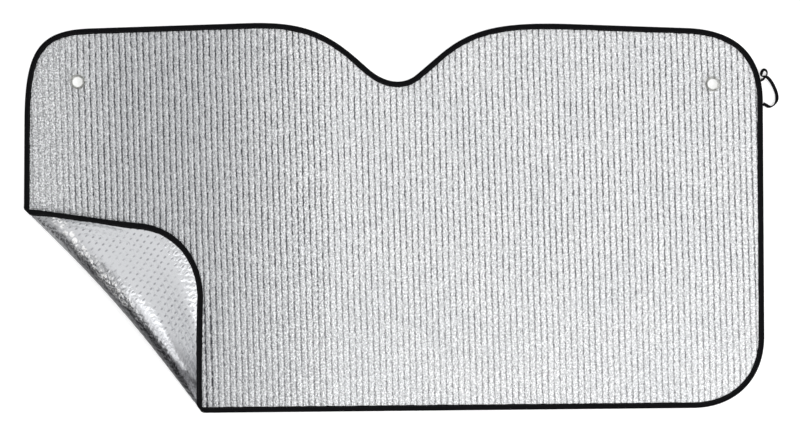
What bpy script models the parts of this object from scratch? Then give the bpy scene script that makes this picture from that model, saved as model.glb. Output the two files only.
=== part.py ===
"""Windscreen shade of metallised bubble film, lying flat with its lower left corner folded over.

The sheet is drawn unfolded in plan, X along its length and Y towards the roof edge, and every
point is then carried round the fold. Metres, +Z up, the silver front upwards.
"""
import math

import bmesh
import bpy
from mathutils import Vector

# Plan of the unfolded sheet: its corners, before they are rounded
BOTTOM_LENGTH = 1.300
TOP_LENGTH = 1.292
SIDE_HEIGHT = 0.673
BOTTOM_RISE = 0.013        # the bottom edge climbs this much from left to right
NOTCH_CENTRE = 0.003       # X of the mirror notch
NOTCH_RUN_LEFT = 0.142     # from the notch's middle out to each shoulder
NOTCH_RUN_RIGHT = 0.147
SHOULDER_RISE = 0.017      # the shoulders stand this much above the top corners
NOTCH_DEPTH = 0.126        # from the shoulders down to the notch's middle

# Rounding: how far along each edge a corner's curve starts, and how full the curve is
LOWER_FULLNESS = 0.60      # 0.55 is close to a circle, 1 is nearly square
UPPER_LEFT_FULLNESS = 0.79
UPPER_RIGHT_FULLNESS = 0.66
SHOULDER_FULLNESS = 0.77
NOTCH_FULLNESS = 0.62
LOWER_LEFT_REACH = 0.125
UPPER_LEFT_SIDE_REACH = 0.159
UPPER_LEFT_TOP_REACH = 0.115
LEFT_SHOULDER_TOP_REACH = 0.118
LEFT_SHOULDER_NOTCH_REACH = 0.104
NOTCH_LEFT_REACH = 0.064
NOTCH_RIGHT_REACH = 0.050
RIGHT_SHOULDER_NOTCH_REACH = 0.093
RIGHT_SHOULDER_TOP_REACH = 0.160
UPPER_RIGHT_TOP_REACH = 0.133
UPPER_RIGHT_SIDE_REACH = 0.124
LOWER_RIGHT_REACH = 0.125
CORNER_STEPS = 10          # points along a corner's curve
STRAIGHT_STEP = 0.090      # points along a straight edge lie about this far apart

# Film: thin where it is pressed flat at the edge, puffed and ribbed inside
FILM_EDGE_HALF = 0.0008    # half the thickness under the tape
FILM_BACK = 0.0016         # from the middle plane down to the back
GROOVE_HEIGHT = 0.0009     # from the middle plane up to the bottom of a groove
CREST_HEIGHT = 0.0022      # and up to the crest of a rib
RIB_PITCH = 0.0105
RIB_LEAN = 0.028           # sideways drift of a rib for each metre down
PUFF_WIDTH = 0.007         # over this width the film swells from thin to full

# Binding tape, folded round the whole edge
TAPE_WIDTH = 0.0100        # how far it reaches in on each face
TAPE_THICKNESS = 0.0007
TAPE_EDGE_ROUND = 0.0004   # its folded edge is this much lower than its legs
CLEARANCE = 0.0003         # between pieces that touch

# Fold: a line across the lower left corner, from the left edge to the bottom edge
FOLD_LEFT_HEIGHT = 0.3600  # where it meets the left edge, above the lower left corner
FOLD_BOTTOM_RUN = 0.3150   # where it meets the bottom edge, right of that corner
ROLL_RADIUS = 0.0331       # of the film's middle plane, halfway along the fold
ROLL_END_RADIUS = 0.0036   # and where the stitched edge is pinched flat
FLAP_SLOPE = 0.73          # radians below level, on the way down from the roll
LANDING_RATIO = 1.5        # radius of the curve that lands the flap, over the roll's radius
FLAP_REST = 0.0048         # height of the landed flap's middle plane above the sheet's
FLAP_SKEW = 0.113          # sideways slip of the flap, for each metre of film past the fold

# Suction cups: turned pieces, each through a hole in the film
CUP_LEFT_INSET = 0.0940    # from the top corner's side
CUP_LEFT_DROP = 0.0910     # from the top corner's height
CUP_RIGHT_INSET = 0.0890
CUP_RIGHT_DROP = 0.0945
CUP_NECK_RADIUS = 0.0027
CUP_HEAD_RADIUS = 0.0060
CUP_HEAD_THICKNESS = 0.0015
CUP_COLLAR_RADIUS = 0.0050
CUP_COLLAR_THICKNESS = 0.0018
CUP_RIM_RADIUS = 0.0130
CUP_RIM_WIDTH = 0.0012
CUP_WALL = 0.0014
CUP_DISH_HEIGHT = 0.0062
CUP_SEGMENTS = 28
LIFT_FLAT_RADIUS = 0.0090  # the film is raised flat this far round a cup's head
LIFT_RADIUS = 0.0300       # and is back on the ground here

# Elastic band: its route in plan from the upper sewn end, with the height above the ground
ELASTIC_RADIUS = 0.0013
ELASTIC_DROP = 0.0861      # sewn end, below the top right corner
ELASTIC_SPAN = 0.0402      # between the two sewn ends, along the edge
ELASTIC_ROUTE = (
    (0.0076, 0.0052, 0.0026), (0.0101, 0.0086, 0.0030), (0.0108, 0.0119, 0.0038),
    (0.0094, 0.0155, 0.0048), (0.0063, 0.0175, 0.0056), (0.0032, 0.0168, 0.0062),
    (0.0010, 0.0136, 0.0068), (-0.0003, 0.0097, 0.0073), (0.0002, 0.0070, 0.0079),
    (0.0025, 0.0059, 0.0085), (0.0060, 0.0056, 0.0086), (0.0099, 0.0044, 0.0076),
    (0.0142, 0.0009, 0.0060), (0.0185, -0.0046, 0.0046), (0.0226, -0.0117, 0.0035),
    (0.0264, -0.0204, 0.0028), (0.0282, -0.0276, 0.0024), (0.0283, -0.0339, 0.0023),
    (0.0265, -0.0389, 0.0023), (0.0228, -0.0439, 0.0024), (0.0181, -0.0467, 0.0024),
    (0.0134, -0.0465, 0.0022), (0.0087, -0.0438, 0.0019),
)
ELASTIC_STEP = 0.0035

# How finely the fold is cut
END_ZONE = 0.036           # near its pinched ends the roll needs a finer mesh
ALONG_CUTS = 10
ROLL_CUT = 0.0078
FINE_CUT = 0.0022
FLAP_CUT = 0.0160
CUT_SNAP = 0.00003         # a cut this close to a point goes through it

FILM_INSET = TAPE_THICKNESS + CLEARANCE                # from the outline in to the film's edge
MIDDLE = FILM_EDGE_HALF + CLEARANCE + TAPE_THICKNESS   # height of the sheet's middle plane


def corner_points():
    """The sheet's corners, clockwise from the lower left, each with its two reaches and fullness."""
    left, right = -BOTTOM_LENGTH / 2, BOTTOM_LENGTH / 2
    top_left, top_right = -TOP_LENGTH / 2, TOP_LENGTH / 2
    shoulder = SIDE_HEIGHT + SHOULDER_RISE
    return [
        ((left, 0), LOWER_LEFT_REACH, LOWER_LEFT_REACH, LOWER_FULLNESS),
        ((top_left, SIDE_HEIGHT), UPPER_LEFT_SIDE_REACH, UPPER_LEFT_TOP_REACH,
         UPPER_LEFT_FULLNESS),
        ((NOTCH_CENTRE - NOTCH_RUN_LEFT, shoulder), LEFT_SHOULDER_TOP_REACH,
         LEFT_SHOULDER_NOTCH_REACH, SHOULDER_FULLNESS),
        ((NOTCH_CENTRE, shoulder - NOTCH_DEPTH), NOTCH_LEFT_REACH, NOTCH_RIGHT_REACH,
         NOTCH_FULLNESS),
        ((NOTCH_CENTRE + NOTCH_RUN_RIGHT, shoulder), RIGHT_SHOULDER_NOTCH_REACH,
         RIGHT_SHOULDER_TOP_REACH, SHOULDER_FULLNESS),
        ((top_right, SIDE_HEIGHT), UPPER_RIGHT_TOP_REACH, UPPER_RIGHT_SIDE_REACH,
         UPPER_RIGHT_FULLNESS),
        ((right, BOTTOM_RISE), LOWER_RIGHT_REACH, LOWER_RIGHT_REACH, LOWER_FULLNESS),
    ]


def outline():
    """The rounded outline, clockwise: each corner is one cubic curve, straight edges lie between."""
    corners = corner_points()
    points = []
    for i, (vertex, reach_in, reach_out, fullness) in enumerate(corners):
        vertex = Vector(vertex)
        before = Vector(corners[i - 1][0])
        after = Vector(corners[(i + 1) % len(corners)][0])
        start = vertex + (before - vertex).normalized() * reach_in
        end = vertex + (after - vertex).normalized() * reach_out
        handle_in = start.lerp(vertex, fullness)
        handle_out = end.lerp(vertex, fullness)
        for step in range(CORNER_STEPS + 1):
            t = step / CORNER_STEPS
            points.append((1 - t) ** 3 * start + 3 * (1 - t) ** 2 * t * handle_in
                          + 3 * (1 - t) * t ** 2 * handle_out + t ** 3 * end)
        next_start = after + (vertex - after).normalized() * corners[(i + 1) % len(corners)][1]
        spans = max(round((next_start - end).length / STRAIGHT_STEP), 1)
        points += [end.lerp(next_start, span / spans) for span in range(1, spans)]
    return points


def inset_outline(points, distance):
    """The outline moved inwards by one distance, along the mitre of each of its points."""
    moved = []
    for i, point in enumerate(points):
        before = (point - points[i - 1]).normalized()
        after = (points[(i + 1) % len(points)] - point).normalized()
        inward = Vector((before.y + after.y, -before.x - after.x)).normalized()
        across = Vector((before.y, -before.x)).dot(inward)
        moved.append(point + inward * distance / across)
    return moved


# The fold line and the two directions that the fold is worked out in
FOLD_START = Vector((-(BOTTOM_LENGTH + (TOP_LENGTH - BOTTOM_LENGTH) * FOLD_LEFT_HEIGHT
                       / SIDE_HEIGHT) / 2, FOLD_LEFT_HEIGHT))
FOLD_END = Vector((-BOTTOM_LENGTH / 2 + FOLD_BOTTOM_RUN,
                   BOTTOM_RISE * FOLD_BOTTOM_RUN / BOTTOM_LENGTH))
FOLD_LENGTH = (FOLD_END - FOLD_START).length
ALONG = (FOLD_END - FOLD_START).normalized()
ACROSS = Vector((ALONG.y, -ALONG.x))       # towards the corner that is folded over


def fold_coordinates(x, y):
    """How far a point lies along the fold line, and how far past it."""
    offset = Vector((x, y)) - FOLD_START
    return offset.dot(ALONG), offset.dot(ACROSS)


def roll_radius(along):
    """The roll is widest halfway and pinched at its two ends."""
    share = min(max(along / FOLD_LENGTH, 0), 1)
    return ROLL_END_RADIUS + (ROLL_RADIUS - ROLL_END_RADIUS) * math.sin(math.pi * share)


def lift_off(along):
    """Where the film leaves the ground, measured across the fold line."""
    return -math.pi / 2 * roll_radius(along)


def folded_section(run, radius):
    """Place and heading on the roll and the flap, after a run of film past the lift-off line."""
    turn = math.pi + FLAP_SLOPE
    if run <= radius * turn:
        heading = run / radius
        return radius * math.sin(heading), radius * (1 - math.cos(heading)), heading
    landing = LANDING_RATIO * radius
    drop = radius * (1 + math.cos(FLAP_SLOPE)) - landing * (1 - math.cos(FLAP_SLOPE)) - FLAP_REST
    straight = max(drop, 0) / math.sin(FLAP_SLOPE)
    past = run - radius * turn
    slid = min(past, straight)
    n = radius * math.sin(turn) + slid * math.cos(turn)
    z = radius * (1 - math.cos(turn)) + slid * math.sin(turn)
    curved = min(max(past - straight, 0), landing * FLAP_SLOPE)
    heading = turn - curved / landing
    n += landing * (math.sin(turn) - math.sin(heading))
    z += landing * (math.cos(heading) - math.cos(turn))
    n -= max(past - straight - landing * FLAP_SLOPE, 0)
    return n, z, heading


def folded(x, y, height):
    """A point of the unfolded sheet, at a height above its middle plane, carried round the fold."""
    along, past = fold_coordinates(x, y)
    start = lift_off(along)
    run = past - start
    if run <= 0:
        return Vector((x, y, MIDDLE + height))
    n, z, heading = folded_section(run, roll_radius(along))
    n += start - height * math.sin(heading)
    z += height * math.cos(heading)
    place = FOLD_START + ALONG * (along - FLAP_SKEW * run) + ACROSS * n
    return Vector((place.x, place.y, MIDDLE + z))


def smooth_step(value):
    value = min(max(value, 0), 1)
    return value * value * (3 - 2 * value)


def cup_centres():
    top = SIDE_HEIGHT
    left = Vector((-TOP_LENGTH / 2 + CUP_LEFT_INSET, top - CUP_LEFT_DROP))
    right = Vector((TOP_LENGTH / 2 - CUP_RIGHT_INSET, top - CUP_RIGHT_DROP))
    return {"left": left, "right": right}


def cup_lift(x, y):
    """The film is raised round each cup, whose head lies between it and the ground."""
    height = CUP_HEAD_THICKNESS + CLEARANCE - (MIDDLE - FILM_BACK)
    near = min((Vector((x, y)) - centre).length for centre in cup_centres().values())
    return height * smooth_step((LIFT_RADIUS - near) / (LIFT_RADIUS - LIFT_FLAT_RADIUS))


def rib_coordinate(x, y):
    return x + RIB_LEAN * y


def film_front(x, y, inset):
    """Height of the silver front above the middle plane."""
    swell = smooth_step((inset - TAPE_WIDTH) / PUFF_WIDTH)
    phase = rib_coordinate(x, y) / RIB_PITCH
    crest = 1 - abs(2 * (phase - math.floor(phase)) - 1)
    along, past = fold_coordinates(x, y)
    crest *= smooth_step((lift_off(along) - past) / RIB_PITCH)
    full = GROOVE_HEIGHT + (CREST_HEIGHT - GROOVE_HEIGHT) * crest
    return FILM_EDGE_HALF + (full - FILM_EDGE_HALF) * swell + cup_lift(x, y)


def film_back(x, y, inset):
    swell = smooth_step((inset - TAPE_WIDTH) / PUFF_WIDTH)
    return -FILM_EDGE_HALF - (FILM_BACK - FILM_EDGE_HALF) * swell + cup_lift(x, y)


def plan_mesh(insets):
    """A flat mesh in plan: rings of quads between the given insets, and the middle in one face."""
    plan = bmesh.new()
    depth = plan.verts.layers.float.new("inset")
    edge = outline()
    rings = []
    for inset in insets:
        ring = [plan.verts.new((p.x, p.y, 0)) for p in inset_outline(edge, inset)]
        for vertex in ring:
            vertex[depth] = inset
        rings.append(ring)
    count = len(edge)
    for outer, inner in zip(rings, rings[1:]):
        for i in range(count):
            j = (i + 1) % count
            plan.faces.new((outer[i], inner[i], inner[j], outer[j]))
    plan.faces.new(rings[-1][::-1])
    return plan


def inset_layer(plan):
    return plan.verts.layers.float["inset"]


def face_inset(face, depth):
    """How far inside the outline a face lies, averaged over its points."""
    return sum(vertex[depth] for vertex in face.verts) / len(face.verts)


def cut_plan(plan, point, direction, chosen):
    """Cut the chosen faces of a plan along a line through a point."""
    faces = [face for face in plan.faces if chosen(face)]
    parts = set(faces)
    for face in faces:
        parts.update(face.edges)
        parts.update(face.verts)
    normal = Vector((direction.y, -direction.x, 0))
    bmesh.ops.bisect_plane(plan, geom=list(parts), dist=CUT_SNAP, plane_co=(point.x, point.y, 0),
                           plane_no=normal)


def face_on_fold(face):
    """Where a face's middle lies along and past the fold line."""
    centre = face.calc_center_median()
    return fold_coordinates(centre.x, centre.y)


def cut_for_fold(plan):
    """Cut a plan along and across the fold line, so that its faces can follow the roll."""
    quarter = math.pi / 2 * ROLL_RADIUS
    roll_end = quarter + FLAP_SLOPE * ROLL_RADIUS
    flap_length = ROLL_RADIUS * (2 / math.sin(FLAP_SLOPE) + LANDING_RATIO * FLAP_SLOPE)
    before_roll = -quarter - ROLL_CUT / 2

    def in_corner(face):
        return face_on_fold(face)[1] > before_roll

    def in_end_zone(face):
        along, past = face_on_fold(face)
        return past > before_roll and not END_ZONE < along < FOLD_LENGTH - END_ZONE

    cut_plan(plan, FOLD_START + ACROSS * before_roll, ALONG, lambda face: True)
    stations = [END_ZONE + (FOLD_LENGTH - 2 * END_ZONE) * i / ALONG_CUTS
                for i in range(ALONG_CUTS + 1)]
    near_end = [END_ZONE * share for share in (-1 / 3, 0, 1 / 3, 2 / 3)]
    stations += near_end + [FOLD_LENGTH - along for along in near_end]
    for along in stations:
        cut_plan(plan, FOLD_START + ALONG * along, ACROSS, in_corner)
    count = math.ceil((quarter + roll_end) / ROLL_CUT)
    for i in range(count + 1):
        past = -quarter + (quarter + roll_end) * i / count
        cut_plan(plan, FOLD_START + ACROSS * past, ALONG, in_corner)
    for i in range(1, math.ceil(flap_length / FLAP_CUT) + 1):
        cut_plan(plan, FOLD_START + ACROSS * (roll_end + i * FLAP_CUT), ALONG, in_corner)
    pinched = (math.pi / 2 + (1 + LANDING_RATIO) * FLAP_SLOPE) * roll_radius(END_ZONE / 3)
    for i in range(int(2 * pinched / FINE_CUT) + 1):
        cut_plan(plan, FOLD_START + ACROSS * (i * FINE_CUT - pinched), ALONG, in_end_zone)


def cut_for_ribs(plan):
    """Cut the puffed middle of a plan along every crest and groove, up to where it lifts off."""
    depth = inset_layer(plan)
    half = RIB_PITCH / 2
    first = math.ceil(-BOTTOM_LENGTH / 2 / half)
    down = Vector((RIB_LEAN, -1)).normalized()

    def on_ground(face):
        along, past = face_on_fold(face)
        outermost = min(vertex[depth] for vertex in face.verts)
        return past < lift_off(along) and outermost > TAPE_WIDTH + PUFF_WIDTH / 2

    for i in range(first, int((BOTTOM_LENGTH / 2 + RIB_LEAN * SIDE_HEIGHT) / half) + 1):
        cut_plan(plan, Vector((i * half, 0)), down, on_ground)
    middle_radius = (LIFT_RADIUS + LIFT_FLAT_RADIUS) / 2
    for centre in cup_centres().values():
        middle = rib_coordinate(centre.x, centre.y)

        def near_cup(face):
            place = face.calc_center_median()
            return abs(rib_coordinate(place.x, place.y) - middle) < LIFT_RADIUS

        for radius in (LIFT_FLAT_RADIUS, middle_radius, LIFT_RADIUS):
            for row in (-radius, radius):
                cut_plan(plan, centre + Vector((0, row)), Vector((1, 0)), near_cup)


def film_plan():
    """The plan that the film and its tape share, so that their faces follow one another."""
    plan = plan_mesh((0, TAPE_THICKNESS, FILM_INSET, TAPE_WIDTH, TAPE_WIDTH + PUFF_WIDTH))
    cut_for_fold(plan)
    cut_for_ribs(plan)
    bmesh.ops.remove_doubles(plan, verts=plan.verts, dist=CUT_SNAP)
    bmesh.ops.triangulate(plan, faces=plan.faces)
    return plan


def add_layer(body, plan, height, faces, flip):
    """Copy faces of a plan into a body at a height, and return the copies of its points."""
    depth = inset_layer(plan)
    copies = {}
    for face in faces:
        for vertex in face.verts:
            if vertex not in copies:
                x, y, _ = vertex.co
                copies[vertex] = body.verts.new(folded(x, y, height(x, y, vertex[depth])))
        corners = [copies[vertex] for vertex in face.verts]
        body.faces.new(corners[::-1] if flip else corners)
    return copies


def add_wall(body, edges, lower, upper):
    """Join two layers along edges of their plan."""
    for edge in edges:
        a, b = edge.verts
        body.faces.new((lower[a], lower[b], upper[b], upper[a]))


def ring_edges(plan, inset):
    """The edges of a plan that run along one of its rings."""
    depth = inset_layer(plan)
    return [edge for edge in plan.edges
            if all(abs(vertex[depth] - inset) < 1e-6 for vertex in edge.verts)]


def material(name, colour, roughness, metallic=0.0, alpha=1.0):
    made = bpy.data.materials.new(name)
    made.use_nodes = True
    shader = made.node_tree.nodes["Principled BSDF"]
    shader.inputs["Base Color"].default_value = (*colour, 1)
    shader.inputs["Roughness"].default_value = roughness
    shader.inputs["Metallic"].default_value = metallic
    shader.inputs["Alpha"].default_value = alpha
    made.diffuse_color = (*colour, 1)
    return made


def finished_object(name, body, finish, smooth_angle=40):
    """Turn a bmesh into an object with a material and smooth round sides."""
    bmesh.ops.recalc_face_normals(body, faces=body.faces)
    mesh = bpy.data.meshes.new(name)
    body.to_mesh(mesh)
    body.free()
    mesh.shade_smooth()
    mesh.set_sharp_from_angle(angle=math.radians(smooth_angle))
    mesh.materials.append(finish)
    made = bpy.data.objects.new(name, mesh)
    bpy.context.collection.objects.link(made)
    return made


def hole_cutter(name, centre, radius):
    """A cylinder that stands through the film, for a Boolean."""
    body = bmesh.new()
    bmesh.ops.create_cone(body, cap_ends=True, segments=CUP_SEGMENTS, radius1=radius,
                          radius2=radius, depth=LIFT_RADIUS)
    mesh = bpy.data.meshes.new(name)
    body.to_mesh(mesh)
    body.free()
    cutter = bpy.data.objects.new(name, mesh)
    cutter.location = (centre.x, centre.y, MIDDLE)
    cutter.hide_render = True
    cutter.display_type = "WIRE"
    bpy.context.collection.objects.link(cutter)
    return cutter


def foil_panel(plan, finish):
    """The film itself: one closed sheet, ribbed in front, with its corner folded over."""
    depth = inset_layer(plan)
    faces = [face for face in plan.faces if face_inset(face, depth) > FILM_INSET]
    body = bmesh.new()
    front = add_layer(body, plan, film_front, faces, flip=False)
    back = add_layer(body, plan, film_back, faces, flip=True)
    add_wall(body, ring_edges(plan, FILM_INSET), back, front)
    panel = finished_object("foil_panel", body, finish)
    for side, centre in cup_centres().items():
        cut = panel.modifiers.new("hole_" + side, "BOOLEAN")
        cut.operation = "DIFFERENCE"
        cut.solver = "EXACT"
        cut.object = hole_cutter("cutter_" + side, centre, CUP_NECK_RADIUS + CLEARANCE)
    return panel


def edge_binding(plan, finish):
    """Tape folded round the edge: two flat legs and the web that joins them outside the film."""
    inner = FILM_EDGE_HALF + CLEARANCE
    outer = inner + TAPE_THICKNESS
    depth = inset_layer(plan)
    faces = [face for face in plan.faces if face_inset(face, depth) < TAPE_WIDTH]
    legs = [face for face in faces if face_inset(face, depth) > TAPE_THICKNESS]

    def outside(sign):
        def height(x, y, inset):
            return sign * (outer - TAPE_EDGE_ROUND * max(1 - inset / TAPE_THICKNESS, 0))
        return height

    def inside(sign):
        return lambda x, y, inset: sign * inner

    body = bmesh.new()
    top = add_layer(body, plan, outside(1), faces, flip=False)
    bottom = add_layer(body, plan, outside(-1), faces, flip=True)
    top_inside = add_layer(body, plan, inside(1), legs, flip=True)
    bottom_inside = add_layer(body, plan, inside(-1), legs, flip=False)
    add_wall(body, ring_edges(plan, 0), bottom, top)
    add_wall(body, ring_edges(plan, TAPE_THICKNESS), bottom_inside, top_inside)
    add_wall(body, ring_edges(plan, TAPE_WIDTH), top_inside, top)
    add_wall(body, ring_edges(plan, TAPE_WIDTH), bottom, bottom_inside)
    return finished_object("edge_binding", body, finish)


def cup_profile():
    """Half section of a suction cup, from the middle of its head up over the rim and back in."""
    seat = CUP_HEAD_THICKNESS + CLEARANCE + FILM_BACK + CREST_HEIGHT + CLEARANCE
    collar = seat + CUP_COLLAR_THICKNESS
    rim = collar + CUP_DISH_HEIGHT
    rim_inner = CUP_RIM_RADIUS - CUP_RIM_WIDTH
    points = [(0, 0), (CUP_HEAD_RADIUS, 0), (CUP_HEAD_RADIUS, CUP_HEAD_THICKNESS / 2),
              (CUP_NECK_RADIUS, CUP_HEAD_THICKNESS), (CUP_NECK_RADIUS, seat),
              (CUP_COLLAR_RADIUS, seat), (CUP_COLLAR_RADIUS, collar)]
    steps = 5
    for i in range(1, steps + 1):
        share = i / steps
        points.append((CUP_COLLAR_RADIUS + (CUP_RIM_RADIUS - CUP_COLLAR_RADIUS) * share,
                       collar + CUP_DISH_HEIGHT * share ** 1.6))
    for i in range(steps + 1):
        share = 1 - i / steps
        points.append((rim_inner * share, collar + CUP_WALL
                       + (rim - collar - CUP_WALL) * share ** 1.6))
    return points


def suction_cup(name, centre, finish):
    """A soft cup turned about its axis, its dish upwards and its flat head under the film."""
    body = bmesh.new()
    rings = []
    for radius, height in cup_profile():
        if radius < CLEARANCE:
            rings.append([body.verts.new((0, 0, height))])
            continue
        ring = []
        for i in range(CUP_SEGMENTS):
            turn = 2 * math.pi * i / CUP_SEGMENTS
            ring.append(body.verts.new((radius * math.cos(turn), radius * math.sin(turn), height)))
        rings.append(ring)
    for lower, upper in zip(rings, rings[1:]):
        for i in range(CUP_SEGMENTS):
            j = (i + 1) % CUP_SEGMENTS
            if len(lower) == 1:
                body.faces.new((lower[0], upper[j], upper[i]))
            elif len(upper) == 1:
                body.faces.new((lower[i], lower[j], upper[0]))
            else:
                body.faces.new((lower[i], lower[j], upper[j], upper[i]))
    made = finished_object(name, body, finish)
    made.location = (centre.x, centre.y, 0)
    return made


def edge_point(height):
    """The point of the right hand edge at one height in plan."""
    points = outline()
    for a, b in zip(points, points[1:] + points[:1]):
        if a.x > 0 and b.x > 0 and a.y != b.y and min(a.y, b.y) <= height <= max(a.y, b.y):
            if max(a.x, b.x) > TOP_LENGTH / 2 - UPPER_RIGHT_TOP_REACH:
                return a.lerp(b, (height - a.y) / (b.y - a.y))
    return Vector((TOP_LENGTH / 2, height))


def smooth_route(points, step):
    """Points at even steps along a smooth curve through a few chosen ones."""
    dense = []
    spans = len(points) - 1
    for i in range(spans):
        before = points[max(i - 1, 0)]
        after = points[min(i + 2, spans)]
        a, b = points[i], points[i + 1]
        for k in range(16):
            t = k / 16
            dense.append(0.5 * (2 * a + (b - before) * t
                                + (2 * before - 5 * a + 4 * b - after) * t ** 2
                                + (3 * a - before - 3 * b + after) * t ** 3))
    dense.append(points[-1])
    length = sum((b - a).length for a, b in zip(dense, dense[1:]))
    count = round(length / step)
    route = [dense[0]]
    walked, target = 0.0, length / count
    for a, b in zip(dense, dense[1:]):
        span = (b - a).length
        while span > 0 and walked + span >= target - 1e-9 and len(route) < count:
            route.append(a.lerp(b, (target - walked) / span))
            target += length / count
        walked += span
    route.append(dense[-1])
    return route


def elastic_loop(finish):
    """The elastic that ties the rolled shade: a band between two sewn ends on the right edge."""
    upper_height = SIDE_HEIGHT - ELASTIC_DROP
    upper = edge_point(upper_height)
    lower = edge_point(upper_height - ELASTIC_SPAN)
    edge = (upper - lower).normalized()
    outwards = Vector((edge.y, -edge.x))
    stubs = (CLEARANCE, CLEARANCE + ELASTIC_STEP)
    points = [upper + outwards * stub for stub in stubs]
    points = [Vector((place.x, place.y, MIDDLE)) for place in points]
    points += [Vector((upper.x + x, upper.y + y, z)) for x, y, z in ELASTIC_ROUTE]
    ends = [lower + outwards * stub for stub in reversed(stubs)]
    points += [Vector((place.x, place.y, MIDDLE)) for place in ends]
    route = smooth_route(points, ELASTIC_STEP)
    curve = bpy.data.curves.new("elastic_loop", "CURVE")
    curve.dimensions = "3D"
    curve.bevel_depth = ELASTIC_RADIUS
    curve.bevel_resolution = 2
    curve.use_fill_caps = True
    spline = curve.splines.new("POLY")
    spline.points.add(len(route) - 1)
    for point, place in zip(spline.points, route):
        point.co = (*place, 1)
    curve.materials.append(finish)
    made = bpy.data.objects.new("elastic_loop", curve)
    bpy.context.collection.objects.link(made)
    return made


def stand_on_origin(pieces, measured):
    """Hang the pieces on one empty, so that the measured ones stand centred over the origin."""
    bpy.context.view_layer.update()
    corners = [piece.matrix_world @ Vector(corner)
               for piece in measured for corner in piece.bound_box]
    low = [min(corner[axis] for corner in corners) for axis in range(3)]
    high = [max(corner[axis] for corner in corners) for axis in range(3)]
    base = bpy.data.objects.new("shade", None)
    bpy.context.collection.objects.link(base)
    base.location = (-(low[0] + high[0]) / 2, -(low[1] + high[1]) / 2, -low[2])
    for piece in pieces:
        piece.parent = base


def build():
    for old in list(bpy.data.objects):
        bpy.data.objects.remove(old)
    foil = material("silver_film", (0.80, 0.81, 0.83), 0.32, metallic=0.9)
    tape = material("black_tape", (0.012, 0.012, 0.014), 0.75)
    vinyl = material("clear_vinyl", (0.86, 0.89, 0.86), 0.25, alpha=0.9)
    elastic = material("black_elastic", (0.014, 0.014, 0.016), 0.8)
    plan = film_plan()
    pieces = [foil_panel(plan, foil), edge_binding(plan, tape)]
    plan.free()
    for side, centre in cup_centres().items():
        pieces.append(suction_cup("suction_cup_" + side, centre, vinyl))
    band = elastic_loop(elastic)
    cutters = [item for item in bpy.data.objects if item.name.startswith("cutter_")]
    stand_on_origin(pieces + [band] + cutters, pieces)


build()
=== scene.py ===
# %% [markdown]
# # A car sunshade, laid out with one corner folded over
#
# The real shade is a sheet of bubble film with a silver skin on each side. A black tape is
# sewn round its edge, two soft cups hold it to the windscreen, and an elastic band ties it
# when it is rolled up. The measured solids come first, as a frame that never moves, and each
# lesson after that lays one finished piece over them.

# %% The frame
import math
import bmesh
import bpy
import numpy as np
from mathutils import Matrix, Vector


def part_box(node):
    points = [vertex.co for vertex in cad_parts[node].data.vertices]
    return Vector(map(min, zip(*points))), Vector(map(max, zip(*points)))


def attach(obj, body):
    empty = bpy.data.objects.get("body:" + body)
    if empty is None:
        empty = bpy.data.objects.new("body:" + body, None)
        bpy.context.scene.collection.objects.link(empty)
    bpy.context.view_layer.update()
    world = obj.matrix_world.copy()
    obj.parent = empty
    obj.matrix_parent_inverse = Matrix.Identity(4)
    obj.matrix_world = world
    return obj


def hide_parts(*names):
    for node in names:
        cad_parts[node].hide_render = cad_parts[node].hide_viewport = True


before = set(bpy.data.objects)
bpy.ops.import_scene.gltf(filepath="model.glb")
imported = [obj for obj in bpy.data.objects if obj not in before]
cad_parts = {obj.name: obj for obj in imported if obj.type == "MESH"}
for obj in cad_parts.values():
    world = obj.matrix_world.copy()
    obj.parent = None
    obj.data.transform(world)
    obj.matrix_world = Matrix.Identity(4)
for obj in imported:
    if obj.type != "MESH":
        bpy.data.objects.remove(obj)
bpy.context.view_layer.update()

# %% [markdown]
# ## The camera
#
# The shade was photographed from straight above. A camera that looks down needs no turning,
# because an unturned Blender camera already looks along minus Z. One pixel of the photograph
# covers 1.7527 mm of the ground, and that sets how wide the lens has to see.

# %% The camera
PIXEL = 0.0017527
PHOTO_WIDTH = 800
SENSOR_WIDTH = 36
EYE = (0.0107, -0.0003, 3.3)

lens = bpy.data.cameras.new("camera")
lens.sensor_fit = "HORIZONTAL"
lens.sensor_width = SENSOR_WIDTH
lens.lens = SENSOR_WIDTH * EYE[2] / (PHOTO_WIDTH * PIXEL)
lens.clip_end = 50
camera = bpy.data.objects.new("camera", lens)
camera.location = EYE
bpy.context.scene.collection.objects.link(camera)
bpy.context.scene.camera = camera
print("camera lens", round(lens.lens, 1), "mm")

# %% [markdown]
# ## Small helpers for meshes
#
# Most pieces here are sweeps: rows of points, each row joined to the next. The rows are kept
# as one array, and the faces follow from its shape.

# %% Mesh helpers
def add_piece(name, points, faces, finish, seam_map=None):
    """A smooth mesh object at the origin, with an optional map of each corner's place."""
    mesh = bpy.data.meshes.new(name)
    mesh.from_pydata([tuple(p) for p in points], [], [tuple(f) for f in faces])
    mesh.shade_smooth()
    mesh.materials.append(finish)
    if seam_map is not None:
        layer = mesh.uv_layers.new(name="place")
        layer.data.foreach_set("uv", np.asarray(seam_map, dtype=np.float32).ravel())
    piece = bpy.data.objects.new(name, mesh)
    bpy.context.scene.collection.objects.link(piece)
    return piece

def woven_faces(rows, columns, closed_rows, closed_columns):
    """Faces between the rows of an array of points, and each face's corners as (row, column)."""
    r = np.arange(rows if closed_rows else rows - 1)
    c = np.arange(columns if closed_columns else columns - 1)
    r, c = (g.ravel() for g in np.meshgrid(r, c, indexing="ij"))
    corners = [(r, c), (r, c + 1), (r + 1, c + 1), (r + 1, c)]
    faces = np.stack([(i % rows) * columns + j % columns for i, j in corners], axis=1)
    steps = np.stack([np.stack(corner, axis=1) for corner in corners], axis=1)
    return faces, steps

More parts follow.
